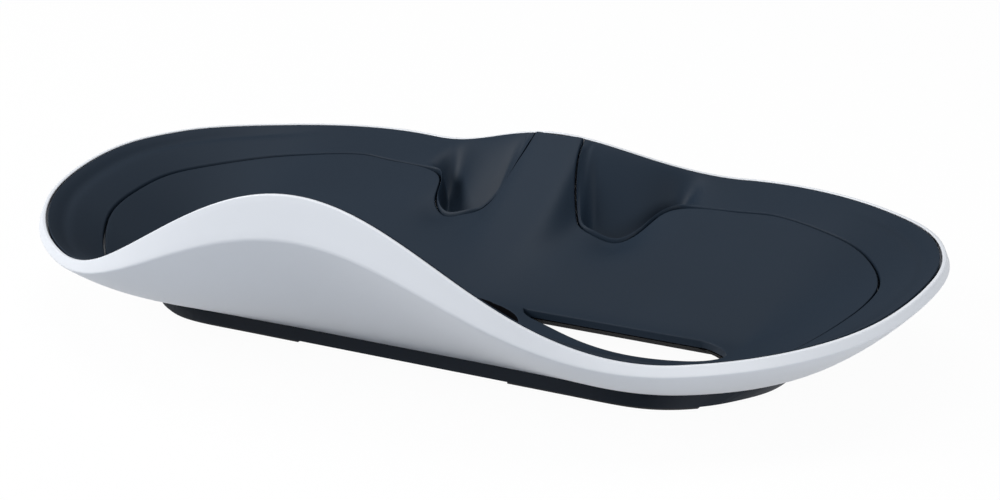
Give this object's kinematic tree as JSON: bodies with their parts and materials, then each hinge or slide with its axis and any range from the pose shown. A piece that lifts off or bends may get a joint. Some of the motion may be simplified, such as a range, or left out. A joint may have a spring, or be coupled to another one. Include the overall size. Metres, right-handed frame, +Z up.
{
  "type": "vr controller charging station",
  "caption": "Low boat-shaped charging station: a pale outer shell around a dark dished tray with two bays, contact pockets beside a central neck and a power inlet at the back.",
  "frame": {"origin": "on the table under the middle of the station's length and depth", "axes": "+X along the length to the right seen from the front, +Y to the back where the power inlet is, +Z up"},
  "size_m": [0.2804, 0.172, 0.0624],
  "materials": {
    "pale_shell": "satin, cool white",
    "dark_surround": "satin, blue-black",
    "dark_tray": "satin, blue-black",
    "dark_base": "fine grain, blue-black",
    "dark_trim": "satin, black",
    "foot_rubber": "matte, dark grey",
    "socket_metal": "plain plated",
    "board": "lacquered green",
    "board_components": "moulded black",
    "header_plastic": "moulded off-white",
    "lead_jacket": "smooth black jacket",
    "contact_metal": "polished",
    "ballast_steel": "rolled sheet",
    "screw_steel": "zinc plated"
  },
  "bodies": {
    "root": {"outer_shell": "pale_shell", "inlet_bezel": "dark_trim", "surround": "dark_surround", "centre_tray": "dark_tray", "base_plate": "dark_base", "right_front_foot": "foot_rubber", "left_front_foot": "foot_rubber", "right_rear_foot": "foot_rubber", "left_rear_foot": "foot_rubber", "power_socket": "socket_metal", "main_board": "board", "board_parts": "board_components", "right_lead_header": "header_plastic", "left_lead_header": "header_plastic", "right_contact_lead": "lead_jacket", "left_contact_lead": "lead_jacket", "right_contact_block": "dark_trim", "left_contact_block": "dark_trim", "right_contact_pads": "contact_metal", "left_contact_pads": "contact_metal", "right_contact_board": "board", "left_contact_board": "board", "right_ballast": "ballast_steel", "left_ballast": "ballast_steel", "base_screws": "screw_steel", "board_screws": "screw_steel", "ballast_screws": "screw_steel"}
  },
  "joints": []
}
